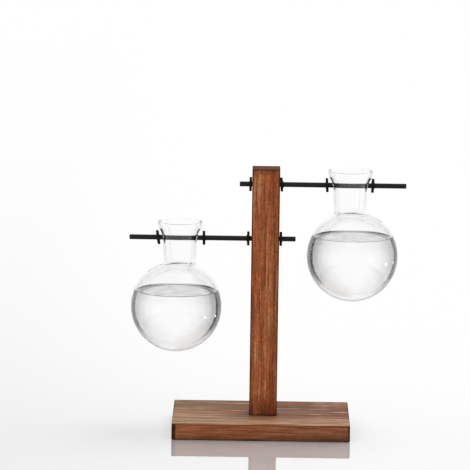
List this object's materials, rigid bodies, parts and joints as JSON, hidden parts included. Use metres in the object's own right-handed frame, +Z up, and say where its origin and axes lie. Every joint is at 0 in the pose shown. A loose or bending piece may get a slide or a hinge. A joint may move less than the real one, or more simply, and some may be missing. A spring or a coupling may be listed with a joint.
{
  "type": "propagation vase",
  "caption": "Propagation vase: clear glass bulbs hang by their flared necks from metal rods that cross a square wooden post on a rectangular wooden base.",
  "frame": {"origin": "middle of the base board's underside", "axes": "+Z up the post, +X to the right towards the upper bulb, front towards -Y"},
  "size_m": [0.2488, 0.105, 0.24],
  "materials": {
    "board_wood": "oiled, satin",
    "post_wood": "stained and oiled, satin",
    "screw_steel": "zinc plated",
    "rod_metal": "satin black",
    "clear_glass": "blown, clear",
    "washer_rubber": "matt black"
  },
  "bodies": {
    "stand": {"base_board": "board_wood", "post": "post_wood", "base_screws": "screw_steel"},
    "lower_rod_body": {"lower_rod": "rod_metal"},
    "upper_rod_body": {"upper_rod": "rod_metal"},
    "lower_bulb_body": {"lower_bulb": "clear_glass"},
    "upper_bulb_body": {"upper_bulb": "clear_glass"},
    "lower_post_washer_left_body": {"lower_post_washer_left": "washer_rubber"},
    "lower_post_washer_right_body": {"lower_post_washer_right": "washer_rubber"},
    "upper_post_washer_left_body": {"upper_post_washer_left": "washer_rubber"},
    "upper_post_washer_right_body": {"upper_post_washer_right": "washer_rubber"},
    "lower_bulb_washer_left_body": {"lower_bulb_washer_left": "washer_rubber"},
    "lower_bulb_washer_right_body": {"lower_bulb_washer_right": "washer_rubber"},
    "upper_bulb_washer_left_body": {"upper_bulb_washer_left": "washer_rubber"},
    "upper_bulb_washer_right_body": {"upper_bulb_washer_right": "washer_rubber"}
  },
  "joints": [
    {"name": "lower_rod_slide", "type": "slide", "parent": "stand", "child": "lower_rod_body", "axis": [1, 0, 0], "range_m": [-0.0075, 0.005]},
    {"name": "upper_rod_slide", "type": "slide", "parent": "stand", "child": "upper_rod_body", "axis": [1, 0, 0], "range_m": [-0.005, 0.005]},
    {"name": "lower_bulb_swing", "type": "hinge", "parent": "lower_rod_body", "child": "lower_bulb_body", "pos_m": [-0.07525, 0, 0.1754], "axis": [1, 0, 0], "range_deg": [-45, 45]},
    {"name": "upper_bulb_swing", "type": "hinge", "parent": "upper_rod_body", "child": "upper_bulb_body", "pos_m": [0.07755, 0, 0.225], "axis": [1, 0, 0], "range_deg": [-45, 45]},
    {"name": "lower_post_washer_left_slide", "type": "slide", "parent": "stand", "child": "lower_post_washer_left_body", "axis": [-1, 0, 0], "range_m": [-0.0015, 0.01]},
    {"name": "lower_post_washer_right_slide", "type": "slide", "parent": "stand", "child": "lower_post_washer_right_body", "axis": [1, 0, 0], "range_m": [0, 0.003]},
    {"name": "upper_post_washer_left_slide", "type": "slide", "parent": "stand", "child": "upper_post_washer_left_body", "axis": [-1, 0, 0], "range_m": [0, 0.002]},
    {"name": "upper_post_washer_right_slide", "type": "slide", "parent": "stand", "child": "upper_post_washer_right_body", "axis": [1, 0, 0], "range_m": [0, 0.01]},
    {"name": "lower_bulb_washer_left_slide", "type": "slide", "parent": "lower_rod_body", "child": "lower_bulb_washer_left_body", "axis": [-1, 0, 0], "range_m": [0, 0.02]},
    {"name": "lower_bulb_washer_right_slide", "type": "slide", "parent": "lower_rod_body", "child": "lower_bulb_washer_right_body", "axis": [1, 0, 0], "range_m": [-0.002, 0.018]},
    {"name": "upper_bulb_washer_left_slide", "type": "slide", "parent": "upper_rod_body", "child": "upper_bulb_washer_left_body", "axis": [-1, 0, 0], "range_m": [0, 0.02]},
    {"name": "upper_bulb_washer_right_slide", "type": "slide", "parent": "upper_rod_body", "child": "upper_bulb_washer_right_body", "axis": [1, 0, 0], "range_m": [0, 0.02]}
  ]
}
